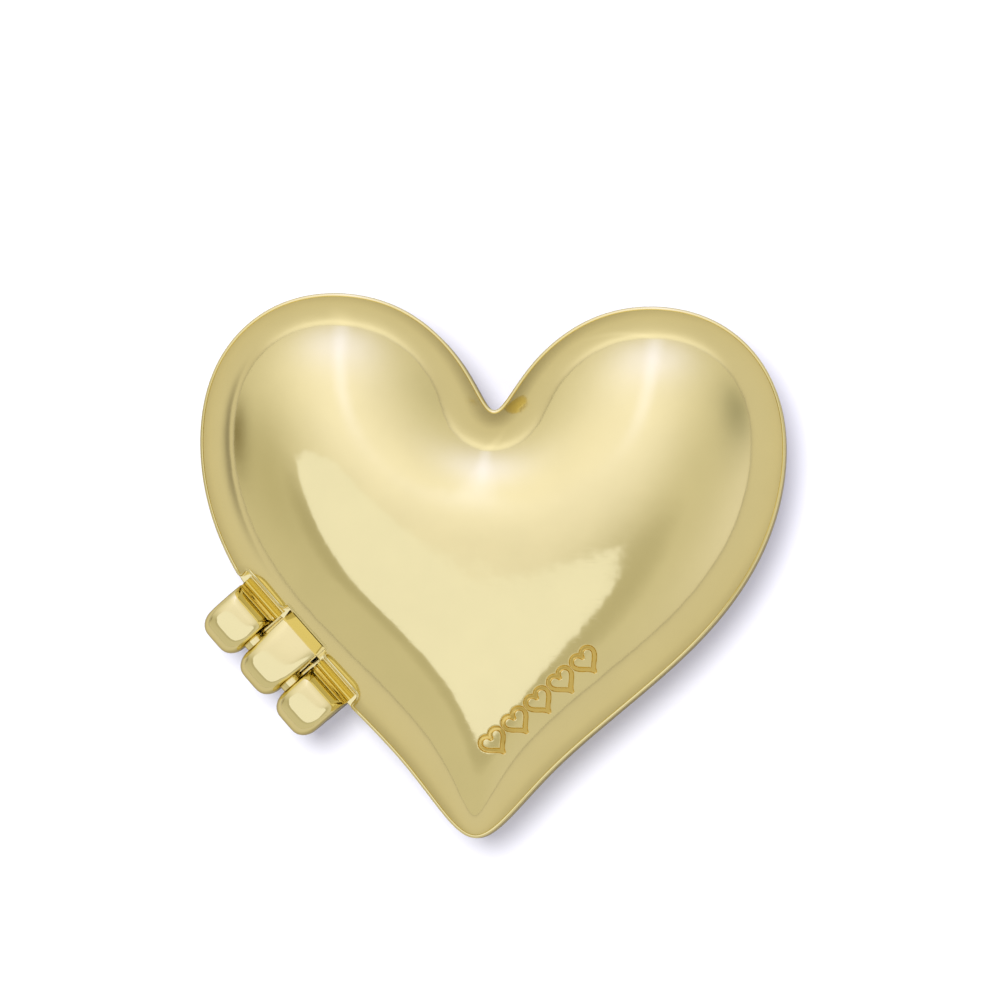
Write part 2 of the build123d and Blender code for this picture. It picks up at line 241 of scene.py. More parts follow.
def dome(depth, total, rim, bevel, run, power):
    """Height of a shell's outside over the parting plane."""
    crown = (total - rim - bevel) * (1 - (1 - np.clip(depth / DEEPEST, 0, 1)) ** power)
    return rim + bevel * (1 - np.exp(-depth / run)) + crown


# Five little hearts are engraved in a row on the lower right flank.
HEART_ROW_START = np.array([1.0, -9.8])
HEART_ROW_END = np.array([5.45, -5.5])
HEART_COUNT = 5
HEART_SIZE = 1.32
GROOVE_HALF = 0.15
GROOVE_WALL = 0.08
GROOVE_DEPTH = 0.12


def small_hearts():
    """Closed loops of the little hearts, upright on the row."""
    t = np.linspace(0, 2 * math.pi, 44, endpoint=False)
    x = 16 * np.sin(t) ** 3
    y = 13 * np.cos(t) - 5 * np.cos(2 * t) - 2 * np.cos(3 * t) - np.cos(4 * t) + 2.5
    heart = np.stack([x, y], 1) * HEART_SIZE / 32
    way = HEART_ROW_END - HEART_ROW_START
    along = way / np.linalg.norm(way)
    turn = np.array([along, [-along[1], along[0]]])
    return [HEART_ROW_START + way * share + heart @ turn for share in np.linspace(0, 1, HEART_COUNT)]


HEARTS = small_hearts()


def near_row(points, reach):
    """True for the points within reach of the row of small hearts."""
    way = HEART_ROW_END - HEART_ROW_START
    share = np.clip((points - HEART_ROW_START) @ way / (way @ way), 0, 1)
    return np.hypot(*(points - HEART_ROW_START - share[:, None] * way).T) < reach


def engraving(points):
    """Depth of the row of small hearts cut into the cover."""
    depth = np.zeros(len(points))
    close = near_row(points, HEART_SIZE)
    if close.any():
        nearest = np.min([distance_to(points[close], heart, GROOVE_HALF) for heart in HEARTS], axis=0)
        wall = np.clip((GROOVE_HALF - nearest) / GROOVE_WALL, 0, 1)
        depth[close] = GROOVE_DEPTH * wall**2 * (3 - 2 * wall)
    return depth


def bare_piece(name, verts, edges, faces):
    """New piece at the origin, from points in metres; it is active, and alone selected."""
    mesh = bpy.data.meshes.new(name)
    mesh.from_pydata(verts, edges, faces)
    piece = bpy.data.objects.new(name, mesh)
    bpy.context.scene.collection.objects.link(piece)
    bpy.ops.object.select_all(action="DESELECT")
    piece.select_set(True)
    bpy.context.view_layer.objects.active = piece
    return piece


LAND_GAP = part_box("cover_shell")[0].z / MM - PARTING
LAND_WIDTH = 2.6
RECESS_DEPTH = 1.9
FOOT_SHARE = 0.6


def shell_piece(name, loop, height, side, edge_round, extra):
    """Closed shell: domed outside with a rounded edge, flat land, and a recess for the picture frame.

    height gives the dome over points of the plan, and extra holds the dome's inner points. side is 1 for the
    cover and -1 for the back. Heights are over the parting plane and grow away from it.
    """
    normal = loop_normals(loop)
    turn = np.radians([0, 22, 45, 67, 90])
    dips = edge_round * (1 - np.sin(turn))
    insets = edge_round * (1 - np.cos(turn))

    def outside(points):
        near = distance_to(points, loop, edge_round)
        drop = edge_round - np.sqrt(np.maximum(edge_round**2 - (edge_round - near) ** 2, 0))
        return height(points) - drop

    rim_loop = loop - normal * edge_round
    top, top_faces = fill([rim_loop], extra)
    verts = [(x, y, z) for (x, y), z in zip(top, outside(top))]
    faces = [tuple(f) for f in top_faces]
    smooth_count = len(faces)
    step = 0.02
    slope_x = (outside(top + [step, 0]) - outside(top - [step, 0])) / (2 * step)
    slope_y = (outside(top + [0, step]) - outside(top - [0, step])) / (2 * step)
    exact = np.stack([-slope_x, -slope_y, np.ones(len(top))], 1)
    exact /= np.linalg.norm(exact, axis=1)[:, None]
    count = len(loop)
    last = list(range(count))

    def add_ring(plan, z):
        nonlocal last
        start = len(verts)
        verts.extend((x, y, h) for (x, y), h in zip(plan, np.broadcast_to(z, len(plan))))
        ring = list(range(start, start + len(plan)))
        faces.extend((last[i], ring[i], ring[(i + 1) % count], last[(i + 1) % count]) for i in range(count))
        last = ring

    crest = height(rim_loop)
    for inset, dip in list(zip(insets, dips))[::-1][1:]:
        add_ring(loop - normal * inset, crest - dip)
    foot = edge_round * FOOT_SHARE
    add_ring(loop, foot)
    add_ring(loop - normal * foot * 0.3, foot * 0.3)
    add_ring(loop - normal * foot, 0.0)
    _, land_faces = fill([loop - normal * foot, mouth], np.zeros((0, 2)))
    m = len(mouth)
    inner_ring = list(range(len(verts), len(verts) + m))
    verts += [(x, y, 0.0) for x, y in mouth]
    land_ring = last + inner_ring
    faces += [tuple(land_ring[v] for v in f[::-1]) for f in land_faces]
    deep_ring = list(range(len(verts), len(verts) + m))
    verts += [(x, y, RECESS_DEPTH) for x, y in mouth]
    for i in range(m):
        after = (i + 1) % m
        faces.append((inner_ring[after], inner_ring[i], deep_ring[i], deep_ring[after]))
    _, floor_faces = fill([mouth], np.zeros((0, 2)))
    faces += [tuple(deep_ring[v] for v in f[::-1]) for f in floor_faces]

    place = np.array(verts)
    place[:, 2] = PARTING + side * (place[:, 2] + (LAND_GAP if side > 0 else 0.0))
    if side < 0:
        faces = [f[::-1] for f in faces]
        exact[:, 2] *= -1
    piece = bare_piece(name, (place * MM).tolist(), [], [tuple(map(int, f)) for f in faces])
    bpy.ops.object.shade_smooth_by_angle(angle=math.radians(40))
    mesh = piece.data
    corner = np.zeros(len(mesh.loops) * 3, np.float32)
    mesh.corner_normals.foreach_get("vector", corner)
    corner = corner.reshape(-1, 3)
    owner = np.zeros(len(mesh.loops), np.int32)
    mesh.loops.foreach_get("vertex_index", owner)
    smooth_loops = np.arange(len(mesh.loops)) < 3 * smooth_count
    corner[smooth_loops] = exact[owner[smooth_loops]]
    mesh.normals_split_custom_set(corner.tolist())
    return piece


mouth = contour(LAND_WIDTH, 240)
NOTCH_HALF = 4.3
NOTCH_INNER = -2.15
NOTCH_CORNER = 0.7
NOTCH_ROUND = 0.6
PLATE_HALF = 1.5
PLATE_INNER = -2.55
COVER_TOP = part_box("cover_shell")[1].z / MM - PARTING - LAND_GAP


def notch_round(points):
    """How far the cover's surface rolls down towards the wall of the hinge notch."""
    x, y = np.abs((points - PIN_CENTRE[:2]) @ np.stack([PIN_ALONG, PIN_OUT], 1)).T * [[1], [-1]]
    along = np.maximum(x - (NOTCH_HALF - NOTCH_CORNER), 0)
    behind = np.maximum(NOTCH_INNER + NOTCH_CORNER - y, 0)
    near = np.clip(np.hypot(along, behind) - NOTCH_CORNER, 0, NOTCH_ROUND)
    return NOTCH_ROUND - np.sqrt(NOTCH_ROUND**2 - (NOTCH_ROUND - near) ** 2)


def square_grid(low, high, step):
    """Points of an even grid over a rectangle."""
    across, ahead = (np.arange(low[k], high[k], step) for k in (0, 1))
    return np.stack(np.meshgrid(across, ahead), -1).reshape(-1, 2)


RIM_DEPTHS = (0.2, 0.3, 0.42, 0.56, 0.72, 0.9, 1.1)


def spread_points(keep_off, edge, step, detail=0.0):
    """Inner points for a domed surface: rings that follow the bevelled rim, then an even grid."""
    rings = [contour(depth, 420) for depth in RIM_DEPTHS]
    grid = square_grid(OUTLINE.min(axis=0), OUTLINE.max(axis=0), step)
    grid[::2, 1] += 0.01
    grid = grid[depth_inside(grid) > RIM_DEPTHS[-1] + step / 2]
    if detail:
        ends = np.stack([HEART_ROW_START, HEART_ROW_END])
        fine = square_grid(ends.min(axis=0) - 1, ends.max(axis=0) + 1, detail)
        fine = fine[near_row(fine, HEART_SIZE * 0.72)]
        rings = [ring[~near_row(ring, HEART_SIZE * 0.75)] for ring in rings]
        grid = np.concatenate([grid[~near_row(grid, HEART_SIZE * 0.75)], fine])
    points = np.concatenate(rings + [grid])
    return points[turns_round(points, keep_off) & (distance_to(points, keep_off, 1.0) > edge)]


COVER_SHAPE = dict(total=COVER_TOP, rim=0.74, bevel=1.5, run=0.8, power=1.6)


def cover_height(points):
    """Height of the cover's outside, with the engraving and the rounded wall of the notch."""
    return dome(depth_inside(points), **COVER_SHAPE) - engraving(points) - notch_round(points)


cover_notch = notched_outline(NOTCH_HALF, NOTCH_INNER, corner=0.1, lip=0.2, step=(PLATE_HALF, PLATE_INNER))
cover_loop = smoothed_loop(cover_notch, spacing=0.12)
cover_points = spread_points(cover_loop, edge=0.2, step=0.26, detail=0.042)
cover_case = shell_piece("cover_case", cover_loop, cover_height, 1, edge_round=0.13, extra=cover_points)
# The groove depth is kept on the cover as a mask for the painted shade in the engraving.
recess = cover_case.data.attributes.new("recess", "FLOAT", "POINT")
plan = np.zeros(len(cover_case.data.vertices) * 3)
cover_case.data.vertices.foreach_get("co", plan)
plan = plan.reshape(-1, 3) / MM
upper = plan[:, 2] > PARTING + 1
recess.data.foreach_set("value", np.where(upper, engraving(plan[:, :2]) / GROOVE_DEPTH, 0.0))
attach(cover_case, "cover")
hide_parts("cover_shell")


def node(tree, kind, links=(), **settings):
    """A node with its settings and its incoming links, given as (input, source socket or value)."""
    made = tree.nodes.new(kind)
    for key, value in settings.items():
        setattr(made, key, value)
    for socket, source in links:
        if isinstance(source, bpy.types.NodeSocket):
            tree.links.new(source, made.inputs[socket])
        else:
            made.inputs[socket].default_value = source
    return made


def reckon(tree, operation, *terms):
    """Result of one sum."""
    return node(tree, "ShaderNodeMath", enumerate(terms), operation=operation).outputs[0]


def carry(tree, value, start, end, first, last, step="LINEAR"):
    """Value carried from one range to another and held at both ends."""
    links = enumerate((value, start, end, first, last))
    return node(tree, "ShaderNodeMapRange", links, interpolation_type=step).outputs[0]


def noise(tree, place, scale, detail):
    """Soft noise between 0 and 1."""
    links = [("Vector", place), ("Scale", scale), ("Detail", detail)]
    return node(tree, "ShaderNodeTexNoise", links).outputs["Fac"]


def blend(tree, share, first, second):
    """One colour where the share is 0 and the other where it is 1."""
    links = [("Factor", share), (6, first), (7, second)]
    return node(tree, "ShaderNodeMix", links, data_type="RGBA").outputs[2]


def object_place(tree):
    """Place on the object, in its own coordinates."""
    return node(tree, "ShaderNodeTexCoord").outputs["Object"]


def polish_group():
    """Hand-polished plate: faint hairlines, a slow swell in the surface and a little haze in the shine."""
    tree = bpy.data.node_groups.new("polish", "ShaderNodeTree")
    for socket, kind in (("Colour", "Color"), ("Haze", "Float"), ("Grain", "Float")):
        tree.interface.new_socket(socket, in_out="INPUT", socket_type="NodeSocket" + kind)
    for socket, kind in (("Colour", "Color"), ("Roughness", "Float"), ("Height", "Float")):
        tree.interface.new_socket(socket, in_out="OUTPUT", socket_type="NodeSocket" + kind)
    given = tree.nodes.new("NodeGroupInput").outputs
    result = tree.nodes.new("NodeGroupOutput").inputs
    place = object_place(tree)
    swell = noise(tree, place, 140.0, 2.0)
    cloud = noise(tree, place, 420.0, 4.0)
    ripple = noise(tree, place, 1100.0, 1.0)
    drawn_out = [("Vector", place), ("Rotation", (0.3, 0.2, 0.7)), ("Scale", (1.0, 14.0, 6.0))]
    hair = noise(tree, node(tree, "ShaderNodeMapping", drawn_out).outputs[0], 900.0, 3.0)
    scratch = carry(tree, hair, 0.60, 0.72, 0.0, 1.0)
    haze = reckon(tree, "MULTIPLY_ADD", cloud, 0.05, given["Haze"])
    marks = reckon(tree, "MULTIPLY_ADD", scratch, 0.05, haze)
    waves = reckon(tree, "MULTIPLY_ADD", ripple, 0.5, swell)
    height = reckon(tree, "MULTIPLY_ADD", scratch, -0.02, waves)
    tone = carry(tree, cloud, 0.3, 0.7, 0.97, 1.0)
    tinted = node(tree, "ShaderNodeVectorMath", [(0, given["Colour"]), ("Scale", tone)], operation="SCALE")
    tree.links.new(tinted.outputs[0], result["Colour"])
    tree.links.new(marks, result["Roughness"])
    tree.links.new(reckon(tree, "MULTIPLY", height, given["Grain"]), result["Height"])
    return tree


POLISH = polish_group()


def new_material(name):
    """Fresh node material, with its tree and its shader."""
    material = bpy.data.materials.new(name)
    material.use_nodes = True
    return material, material.node_tree, material.node_tree.nodes["Principled BSDF"]


def roughen(tree, shader, height, strength, distance):
    """Gives a shader its fine relief."""
    links = [("Height", height), ("Strength", strength), ("Distance", distance)]
    relief = node(tree, "ShaderNodeBump", links)
    tree.links.new(relief.outputs["Normal"], shader.inputs["Normal"])


def metal(name, colour, haze, grain, bump):
    """Polished or satin plated metal."""
    material, tree, shader = new_material(name)
    shader.inputs["Metallic"].default_value = 1.0
    shader.inputs["Specular Tint"].default_value = (0.93, 0.86, 0.62, 1.0)
    polish = node(tree, "ShaderNodeGroup", node_tree=POLISH)
    polish.inputs["Colour"].default_value = colour
    polish.inputs["Haze"].default_value = haze
    polish.inputs["Grain"].default_value = grain
    tree.links.new(polish.outputs["Colour"], shader.inputs["Base Color"])
    tree.links.new(polish.outputs["Roughness"], shader.inputs["Roughness"])
    roughen(tree, shader, polish.outputs["Height"], bump, 0.00004)
    return material


# The plate is painted a deeper gold at the bottom of the engraving: painted shade standing in for the darker
# reflections inside the grooves.
PALE_GOLD = (0.88, 0.775, 0.37, 1.0)
PAINTED_GROOVE_SHADE = (0.80, 0.59, 0.16, 1.0)
gold = metal("pale_gold_plate", PALE_GOLD, 0.055, 1.0, 0.25)
gold_tree = gold.node_tree
# The groove depth mask lays the painted shade into the engraving.
cut = node(gold_tree, "ShaderNodeAttribute", attribute_name="recess").outputs["Fac"]
gold_tree.links.new(blend(gold_tree, cut, PALE_GOLD, PAINTED_GROOVE_SHADE), gold_tree.nodes["Group"].inputs["Colour"])
cover_case.data.materials.append(gold)

# --- Back: the shallow half on the shoe's side ---
# Cast and plated like the cover, with a softer bevel. A short pocket in its flank clears the middle knuckle.

BACK_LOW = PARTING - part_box("back_shell")[0].z / MM
BACK_SHAPE = dict(total=BACK_LOW, rim=1.7, bevel=0.9, run=0.5, power=1.8)
POCKET_HALF = 1.6
POCKET_INNER = -1.82


def back_height(points):
    """Height of the back's outside."""
    return dome(depth_inside(points), **BACK_SHAPE)


back_loop = smoothed_loop(notched_outline(POCKET_HALF, POCKET_INNER, corner=0.15, lip=0.14), spacing=0.15)
back_points = spread_points(back_loop, edge=0.2, step=0.4)
back_case = shell_piece("back_case", back_loop, back_height, -1, edge_round=0.12, extra=back_points)
back_case.data.materials.append(gold)
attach(back_case, "back")
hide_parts("back_shell")

# --- Hinge: three knuckles on one pin ---
# Small die-cast blocks, tumbled so that every edge is soft. The middle one runs back as a plate into the
# cover. The outer two stand on lugs of the back half, and the pin is pressed into them.

KNUCKLE_HALF = 1.35
KNUCKLE_CORNER = 0.95
KNUCKLE_REACH = 1.62
KNUCKLE_CROWN = 0.05
END_ROUND = 0.5
PLAN_ROUND = 0.75


def rolled(radius, to_end):
    """How far a rounded end of that radius has drawn in, at a distance from it."""
    return radius - math.sqrt(max(radius**2 - max(radius - to_end, 0) ** 2, 0))


def face_outwards():
    """Turns every face of the active piece outwards."""
    bpy.ops.object.mode_set(mode="EDIT")
    bpy.ops.mesh.select_all(action="SELECT")
    bpy.ops.mesh.normals_make_consistent(inside=False)
    bpy.ops.object.mode_set(mode="OBJECT")


def extruded(name, section, start, end, end_round):
    """Block of one section along the pin; its outer side is crowned and its ends are rounded over."""
    length = end - start
    rounded = [end_round * (1 - math.cos(math.radians(a))) for a in (0, 15, 30, 45, 60, 75)]
    middle = [end_round + (length - 2 * end_round) * k / 8 for k in range(9)]
    stations = rounded + middle + [length - e for e in rounded[::-1]]
    piece = bare_piece(name, [(start, y, z) for y, z in section], [], [list(range(len(section)))])
    bpy.ops.object.mode_set(mode="EDIT")
    bpy.ops.mesh.select_all(action="SELECT")
    for here, there in zip(stations, stations[1:]):
        bpy.ops.mesh.extrude_region_move(TRANSFORM_OT_translate={"value": (there - here, 0, 0)})
    bpy.ops.object.mode_set(mode="OBJECT")
    for vertex in piece.data.vertices:
        x, y, z = vertex.co
        to_end = min(x - start, end - x)
        crown = KNUCKLE_CROWN * abs(2 * (x - start) / length - 1) ** 3
        if end_round and y > -KNUCKLE_HALF - 0.01:
            z *= 1 - rolled(end_round, to_end) / KNUCKLE_HALF - crown
            y *= 1 - rolled(PLAN_ROUND, to_end) / KNUCKLE_REACH - crown if y > 0 else 1
        plan = PIN_CENTRE[:2] + x * PIN_ALONG + y * PIN_OUT
        vertex.co = (plan[0] * MM, plan[1] * MM, (PIN_CENTRE[2] + z) * MM)
    face_outwards()
    bpy.ops.object.shade_smooth_by_angle(angle=math.radians(50))
    piece.data.materials.append(gold)
    return piece


flat = KNUCKLE_HALF - KNUCKLE_CORNER
bulge = [(math.sin(math.radians(a)) ** 0.8, math.cos(math.radians(a)) ** 0.9) for a in range(6, 90, 6)]
outer_top = [(0.0, KNUCKLE_HALF)] + [(KNUCKLE_REACH * u, KNUCKLE_HALF * v) for u, v in bulge]
outer_low = [(KNUCKLE_REACH, 0.0)] + [(y, -z) for y, z in outer_top[::-1]]
inner_top = arc((-flat, flat), KNUCKLE_CORNER, 180, 90, 10)
inner_low = arc((-flat, -flat), KNUCKLE_CORNER, -90, -180, 10)
LUG_LOW = -1.9
ridge = [
    (-2.06, LUG_LOW), (-2.06, 0.3), (-2.05, 0.45), (-1.98, 0.43), (-1.88, 0.24), (-1.76, 0.05), (-1.71, 0.2),
    (-1.62, 0.27), (-1.53, 0.2), (-1.44, -0.1), (-1.38, -0.12),
]
lug_section = outer_top + outer_low + [(-0.2, LUG_LOW)] + ridge + inner_top
LEAF_INNER = -2.5
LEAF_HIGH = 3.05
LEAF_LOW = 0.12
leaf_section = (
    [(LEAF_INNER, LEAF_HIGH), (-1.9, KNUCKLE_HALF - 0.02), (-1.82, KNUCKLE_HALF)]
    + outer_top + outer_low + inner_low + [(-KNUCKLE_HALF, LEAF_LOW), (LEAF_INNER, LEAF_LOW)]
)
PITCH = 2.8
HALF_LENGTH = 1.25
upper_side = 1 if PIN_ALONG[1] > 0 else -1
for name, body, spot, section, cad_node in (
    ("upper_knuckle", "back", upper_side, lug_section, "back_knuckle_upper"),
    ("lower_knuckle", "back", -upper_side, lug_section, "back_knuckle_lower"),
    ("middle_knuckle", "cover", 0, leaf_section, "cover_hinge_leaf"),
):
    knuckle = extruded(name, section, spot * PITCH - HALF_LENGTH, spot * PITCH + HALF_LENGTH, END_ROUND)
    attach(knuckle, body)
    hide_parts(cad_node)

# A thin strip of the back half joins the lugs below the middle knuckle.
WEB_TOP = -1.62
WEB_LOW = -1.85
WEB_HALF = 1.7
web_section = [(0.35, WEB_TOP), (0.35, WEB_LOW), (-1.76, WEB_LOW), (-1.76, WEB_TOP)]
web = extruded("hinge_web", web_section, -WEB_HALF, WEB_HALF, 0.0)
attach(web, "back")

nodes["hinge_pin"].data.materials.clear()
nodes["hinge_pin"].data.materials.append(gold)

# --- Picture frames ---
# In the mouth of each half sits a heart-shaped frame in satin gold, pressed from brass strip with two soft
# beads.


def heart_ring(name, section, filled=False):
    """Heart-shaped ring whose section is given as (depth inside the outline, height over the parting plane).

    A filled one is a plate: its section runs from the middle of one face round to the middle of the other.
    """
    count = 220
    rings = [contour(depth, count) for depth, _ in section]
    verts = [(x * MM, y * MM, (PARTING + z) * MM) for ring, (_, z) in zip(rings, section) for x, y in ring]
    turns = len(section)
    faces = []
    for j in range(turns - 1 if filled else turns):
        for i in range(count):
            k, l = (i + 1) % count, (j + 1) % turns
            faces.append((j * count + i, j * count + k, l * count + k, l * count + i))
    if filled:
        faces += [tuple(range(count)), tuple(range((turns - 1) * count, turns * count))]
    piece = bare_piece(name, verts, [], faces)
    face_outwards()
    bpy.ops.object.shade_smooth_by_angle(angle=math.radians(40))
    return piece


satin_gold = metal("satin_gold_frame", (0.83, 0.70, 0.40, 1.0), 0.22, 1.5, 0.5)
FRAME_SECTION = (
    (2.64, 0.42), (2.66, 0.3), (2.74, 0.2), (2.86, 0.15), (3.1, 0.15), (3.24, 0.2), (3.3, 0.3), (3.36, 0.34),
    (3.5, 0.34), (3.56, 0.27), (3.68, 0.21), (3.84, 0.2), (4.0, 0.25), (4.1, 0.36), (4.13, 0.55),
    (3.2, 0.55), (3.2, 1.69), (2.64, 1.69),
)
for half, side in (("cover", 1), ("back", -1)):
    gap = LAND_GAP if side > 0 else 0.0
    ring = heart_ring(f"{half}_frame", [(depth, side * (z + gap)) for depth, z in FRAME_SECTION])
    ring.data.materials.append(satin_gold)
    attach(ring, half)
    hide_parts(f"{half}_bezel")

# --- Windows ---
# A clear acrylic pane with a chamfered front edge lies behind each frame. A few finger smears dull it here
# and there.

PANE_DEPTH = 3.3
PANE_CHAMFER = 0.12
CARD_GAP = 0.04
window, window_tree, window_shader = new_material("clear_window")
window_shader.inputs["Base Color"].default_value = (0.97, 0.98, 0.98, 1)
window_shader.inputs["Transmission Weight"].default_value = 1.0
window_shader.inputs["IOR"].default_value = 1.46
smear = noise(window_tree, object_place(window_tree), 260.0, 3.0)
window_tree.links.new(carry(window_tree, smear, 0.35, 0.75, 0.02, 0.09), window_shader.inputs["Roughness"])
for half, side in (("cover", 1), ("back", -1)):
    low, high = (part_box(f"{half}_window")[k].z / MM - PARTING for k in (0, 1))
    front, rear = (low, high - CARD_GAP) if side > 0 else (high, low + CARD_GAP)
    pane = heart_ring(f"{half}_pane", [
        (PANE_DEPTH, rear),
        (PANE_DEPTH, front + side * PANE_CHAMFER),
        (PANE_DEPTH + 0.3 * PANE_CHAMFER, front + side * 0.3 * PANE_CHAMFER),
        (PANE_DEPTH + PANE_CHAMFER, front),
        (PANE_DEPTH + 1.4 * PANE_CHAMFER, front),
    ], filled=True)
    pane.data.materials.append(window)
    pane.visible_shadow = False
    pane.visible_diffuse = False
    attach(pane, half)
    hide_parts(f"{half}_window")

# --- Cards, backing plates and magnets ---
# Behind each window lie a printed card and a stiff grey board. Two nickel-plated disc magnets are let into
# each rim, and hold the case shut.


def printed_card():
    """Pink card printed with a soft field of small cream dots."""
    material, tree, shader = new_material("printed_card")
    place = object_place(tree)
    slanted = [("Vector", place), ("Rotation", (0, 0, math.radians(45))), ("Scale", (560, 560, 0))]
    turned = node(tree, "ShaderNodeMapping", slanted).outputs[0]
    cell = node(tree, "ShaderNodeVectorMath", [(0, turned)], operation="FRACTION").outputs[0]
    middle = node(tree, "ShaderNodeVectorMath", [(0, cell), (1, (0.5, 0.5, 0.0))], operation="DISTANCE")
    dot = carry(tree, middle.outputs["Value"], 0.16, 0.2, 1.0, 0.0)
    fibre = noise(tree, place, 2600.0, 6.0)
    wash = noise(tree, place, 90.0, 2.0)
    paper = blend(tree, wash, (0.50, 0.33, 0.30, 1), (0.57, 0.44, 0.39, 1))
    tree.links.new(blend(tree, dot, paper, (0.66, 0.63, 0.57, 1)), shader.inputs["Base Color"])
    tree.links.new(carry(tree, fibre, 0.3, 0.7, 0.55, 0.8), shader.inputs["Roughness"])
    roughen(tree, shader, fibre, 0.3, 0.00002)
    return material


def plain_stuff(name, first, second, scale, rough, bump):
    """Matt material mottled between two colours, with a fine grain."""
    material, tree, shader = new_material(name)
    grain = noise(tree, object_place(tree), scale, 5.0)
    tree.links.new(blend(tree, grain, first, second), shader.inputs["Base Color"])
    tree.links.new(carry(tree, grain, 0.3, 0.7, rough, rough + 0.15), shader.inputs["Roughness"])
    roughen(tree, shader, grain, bump, 0.00003)
    return material


card = printed_card()
board = plain_stuff("grey_board", (0.36, 0.32, 0.27, 1), (0.5, 0.45, 0.38, 1), 1800.0, 0.75, 0.4)
nickel = metal("magnet_nickel", (0.72, 0.71, 0.69, 1.0), 0.16, 1.5, 0.4)
for half in ("cover", "back"):
    for part, material in (("picture_card", card), ("backing_plate", board), ("magnets", nickel)):
        mesh = nodes[f"{half}_{part}"].data
        mesh.materials.clear()
        mesh.materials.append(material)

# --- Stud ---
# A steel rivet through the back half carries a moulded rubber neck and button, which snap into a hole in a
# shoe. The mould leaves a fine parting line round the widest part of the button.

rubber = plain_stuff("white_rubber", (0.80, 0.79, 0.75, 1), (0.86, 0.85, 0.81, 1), 1500.0, 0.42, 0.35)
steel = metal("turned_steel", (0.62, 0.61, 0.60, 1.0), 0.2, 2.0, 0.5)
nodes["stud_post"].data.materials.clear()
nodes["stud_post"].data.materials.append(steel)
stud_low, stud_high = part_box("stud_button")
STUD_TOP = stud_high.z / MM
STUD_BASE = stud_low.z / MM
BUTTON_RADIUS = (stud_high.x - stud_low.x) / 2 / MM
BUTTON_TOP = STUD_BASE + 2.6
BUTTON_MIDDLE = STUD_BASE + 1.3
BUTTON_ROUND = 0.9
SEAM = 0.02
COLLAR_RADIUS = 4.15
NECK_RADIUS = 3.75
BORE_RADIUS = 1.52
BORE_END = STUD_BASE + 0.95
stud_outline = (
    [(BORE_RADIUS, STUD_TOP), (COLLAR_RADIUS, STUD_TOP)]
    + arc((COLLAR_RADIUS - 0.03, STUD_TOP - 0.24), 0.18, 80, -80, 6)
    + [(NECK_RADIUS + 0.12, 0.0), (NECK_RADIUS, -0.14), (NECK_RADIUS, BUTTON_TOP + 0.5)]
    + arc((NECK_RADIUS + 0.45, BUTTON_TOP + 0.45), 0.45, 180, 270, 7)
    + arc((BUTTON_RADIUS - BUTTON_ROUND, BUTTON_TOP - BUTTON_ROUND), BUTTON_ROUND, 90, 8, 9)
    + [(BUTTON_RADIUS - SEAM, BUTTON_MIDDLE + 0.07), (BUTTON_RADIUS, BUTTON_MIDDLE)]
    + [(BUTTON_RADIUS - SEAM, BUTTON_MIDDLE - 0.07)]
    + arc((BUTTON_RADIUS - BUTTON_ROUND, STUD_BASE + BUTTON_ROUND), BUTTON_ROUND, -8, -90, 9)
    + [(2.4, STUD_BASE), (2.25, STUD_BASE + 0.1), (0.0, STUD_BASE + 0.1)]
)
on_axis = len(stud_outline) - 1
stud_outline += [(0.0, BORE_END), (BORE_RADIUS, BORE_END)]
stud_edges = [(i, (i + 1) % len(stud_outline)) for i in range(len(stud_outline)) if i != on_axis]
stud = bare_piece("stud", [(radius * MM, 0, z * MM) for radius, z in stud_outline], stud_edges, [])
bpy.ops.object.mode_set(mode="EDIT")
bpy.ops.mesh.select_all(action="SELECT")
bpy.ops.mesh.spin(steps=96, angle=2 * math.pi, center=(0, 0, 0), axis=(0, 0, 1))
bpy.ops.mesh.select_all(action="SELECT")
bpy.ops.mesh.remove_doubles(threshold=1e-6)
bpy.ops.object.mode_set(mode="OBJECT")
face_outwards()
bpy.ops.object.shade_smooth_by_angle(angle=math.radians(35))
stud.data.materials.append(rubber)
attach(stud, "back")
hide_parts("stud_button")

# --- Floor ---
# A sheet of white paper under the charm. The camera sees it plain and pale, with a faint even glow.
# Reflections in
# the metal see painted tones instead: a darker paper, a painted shadow round the charm, a painted dark patch
# to the left that shows like a dark card, and a glowing painted pool of light ahead.

FLOOR_HALF = 1.5
floor_z = cad_box[0][2]
floor_corners = [(x * FLOOR_HALF, y * FLOOR_HALF, floor_z) for x, y in ((-1, -1), (1, -1), (1, 1), (-1, 1))]
floor = bare_piece("floor", floor_corners, [], [(0, 1, 2, 3)])
paper, paper_tree, paper_shader = new_material("floor_paper")
by_camera = node(paper_tree, "ShaderNodeLightPath").outputs["Is Camera Ray"]
spot = object_place(paper_tree)


def painted_shade_patch(centre, inner, outer, strength):
    """Soft round patch of painted shade on the floor, seen only in reflections: its strength at the centre, 0
    outside.
    """
    apart = node(paper_tree, "ShaderNodeVectorMath", [(0, spot), (1, centre)], operation="DISTANCE")
    return carry(paper_tree, apart.outputs["Value"], outer, inner, 0.0, strength, "SMOOTHSTEP")


# Painted shade for reflections only: a painted shadow round the charm, and a painted dark patch to the left
# that the metal shows like a dark card.
own_shade = painted_shade_patch((0, 0, 0), 0.011, 0.032, 0.5)
painted_dark_patch = painted_shade_patch((-0.10, 0.004, 0), 0.01, 0.06, 0.6)
shade = reckon(paper_tree, "ADD", own_shade, painted_dark_patch)
